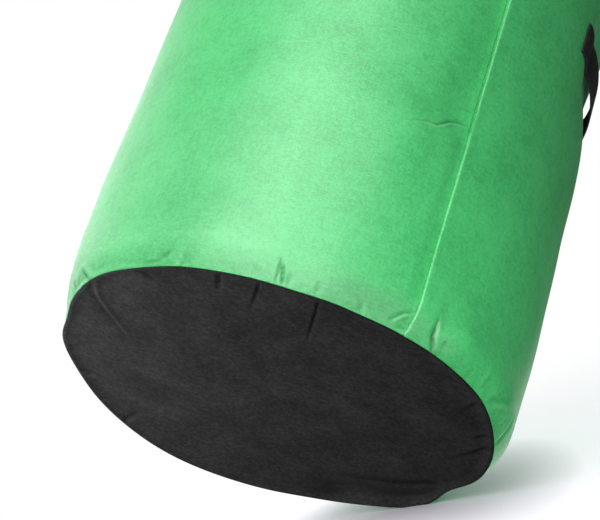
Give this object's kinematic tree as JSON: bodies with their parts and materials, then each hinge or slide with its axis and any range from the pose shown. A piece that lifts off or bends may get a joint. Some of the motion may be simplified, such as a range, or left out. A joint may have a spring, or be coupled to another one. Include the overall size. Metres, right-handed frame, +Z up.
{
  "type": "fabric grow bag",
  "caption": "Round green felt plant bag with a black felt base, a folded hem and a black webbing hand strap on each side.",
  "frame": {"origin": "middle of the underside, on the floor", "axes": "+Z up through the open mouth, +X and -X towards the hand straps, -Y towards the front"},
  "size_m": [0.3144, 0.3008, 0.35],
  "materials": {
    "green_felt": "needle-punched felt",
    "black_felt": "needle-punched felt",
    "black_webbing": "woven webbing",
    "green_thread": "twisted thread",
    "black_thread": "twisted thread"
  },
  "bodies": {
    "bag": {"wall_panel": "green_felt", "base_disc": "black_felt", "side_seam_thread": "green_thread", "base_seam_thread": "black_thread", "hem_thread": "green_thread", "right_handle_ends": "black_webbing", "right_handle_thread": "black_thread", "left_handle_ends": "black_webbing", "left_handle_thread": "black_thread"},
    "right_handle": {"right_handle_grip": "black_webbing"},
    "left_handle": {"left_handle_grip": "black_webbing"}
  },
  "joints": [
    {"name": "right_handle_swing", "type": "hinge", "parent": "bag", "child": "right_handle", "pos_m": [0.14507, 0, 0.281], "axis": [0, -1, 0], "range_deg": [-20, 20]},
    {"name": "left_handle_swing", "type": "hinge", "parent": "bag", "child": "left_handle", "pos_m": [-0.14507, 0, 0.281], "axis": [0, 1, 0], "range_deg": [-20, 20]}
  ]
}
